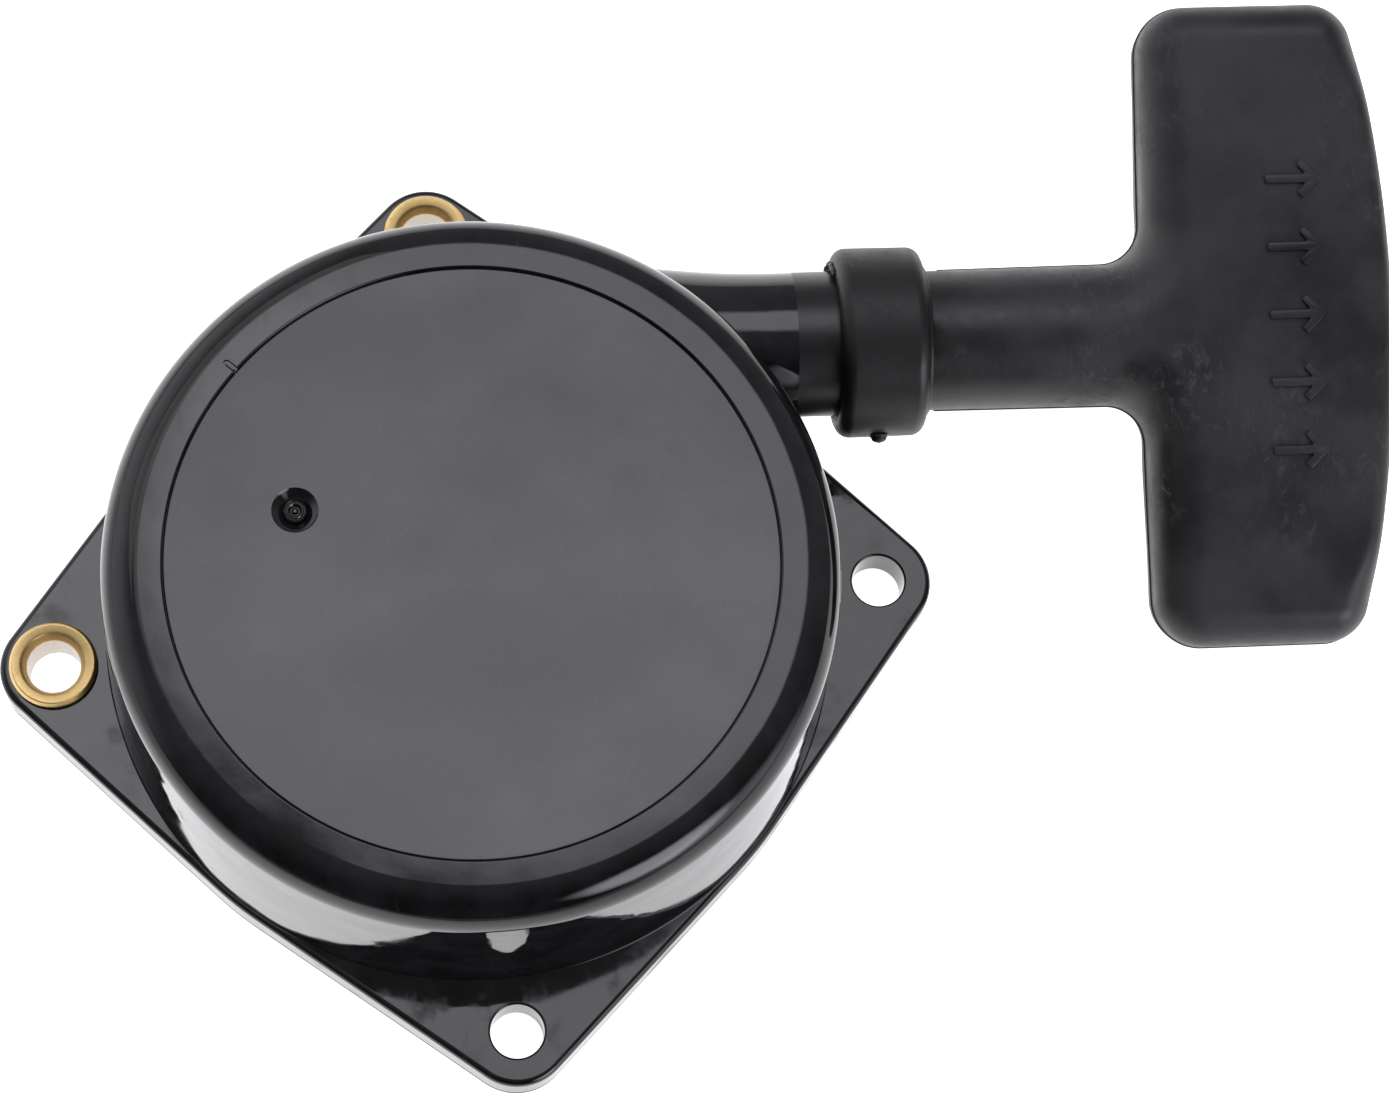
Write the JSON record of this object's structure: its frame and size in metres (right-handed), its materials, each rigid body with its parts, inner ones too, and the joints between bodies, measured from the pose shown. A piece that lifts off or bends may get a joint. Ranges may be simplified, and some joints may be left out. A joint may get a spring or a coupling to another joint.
{
  "type": "recoil starter",
  "caption": "Pull-rope recoil starter: drum housing on a square flange, rope outlet tube, T-handle, sprung reel and drive pawls.",
  "frame": {"origin": "on the reel axis, in the plane of the flange's back face, within half a millimetre of the screw head's face", "axes": "+Z along the reel axis to the closed front of the drum, +X the way the rope is pulled"},
  "size_m": [0.1722, 0.1278, 0.0343],
  "materials": {
    "housing_plastic": "glossy black moulded plastic",
    "handle_rubber": "satin black moulded rubber",
    "grommet_brass": "turned brass",
    "guide_steel": "polished steel",
    "plated_steel": "zinc plated sheet and screw",
    "spring_steel": "blued spring steel",
    "pawl_steel": "sintered hardened steel",
    "reel_nylon": "matt glass-filled nylon",
    "rope": "braided polyester cord"
  },
  "bodies": {
    "housing": {"housing": "housing_plastic", "grommet_left": "grommet_brass", "grommet_top": "grommet_brass", "rope_guide": "guide_steel", "post_insert": "grommet_brass", "centre_screw": "plated_steel", "thrust_washer": "plated_steel", "reel_bush": "grommet_brass", "spring_case": "plated_steel", "spring_cover": "plated_steel", "power_spring": "spring_steel"},
    "reel": {"reel": "reel_nylon", "rope_coil": "rope", "rope_anchor_knot": "rope", "pawl_pin_a": "spring_steel", "pawl_pin_b": "spring_steel", "friction_spring": "spring_steel"},
    "pawl_a": {"pawl_a": "pawl_steel"},
    "pawl_b": {"pawl_b": "pawl_steel"},
    "guide_plate": {"guide_plate": "plated_steel"},
    "rope_end": {"rope_run": "rope", "rope_knot": "rope", "knot_washer": "plated_steel"},
    "handle": {"handle_grip": "handle_rubber", "handle_plug": "handle_rubber"}
  },
  "joints": [
    {"name": "handle_pull", "type": "slide", "parent": "housing", "child": "rope_end", "axis": [1, 0, 0], "range_m": [0, 0.7], "stiffness_N_per_m": 12, "springref_m": -0.5, "deforming": ["rope_run"]},
    {"name": "handle_swivel", "type": "hinge", "parent": "rope_end", "child": "handle", "pos_m": [0.1, 0.0309, 0.0175], "axis": [1, 0, 0], "continuous": true},
    {"name": "reel_spin", "type": "hinge", "parent": "housing", "child": "reel", "pos_m": [0, 0, 0.0175], "axis": [0, 0, -1], "range_deg": [0, 1460], "deforming": ["power_spring"]},
    {"name": "guide_plate_turn", "type": "hinge", "parent": "reel", "child": "guide_plate", "pos_m": [0, 0, 0.006], "axis": [0, 0, 1], "range_deg": [0, 30]},
    {"name": "pawl_a_swing", "type": "hinge", "parent": "reel", "child": "pawl_a", "pos_m": [0.0175, 0, 0.0095], "axis": [0, 0, 1], "range_deg": [0, 28]},
    {"name": "pawl_b_swing", "type": "hinge", "parent": "reel", "child": "pawl_b", "pos_m": [-0.0175, 0, 0.0095], "axis": [0, 0, 1], "range_deg": [0, 28]}
  ],
  "couplings": [
    {"joint": "reel_spin", "follows": "handle_pull", "rad_per_m": 36.364},
    {"joint": "pawl_a_swing", "follows": "guide_plate_turn", "ratio": 0.93333},
    {"joint": "pawl_b_swing", "follows": "guide_plate_turn", "ratio": 0.93333}
  ]
}
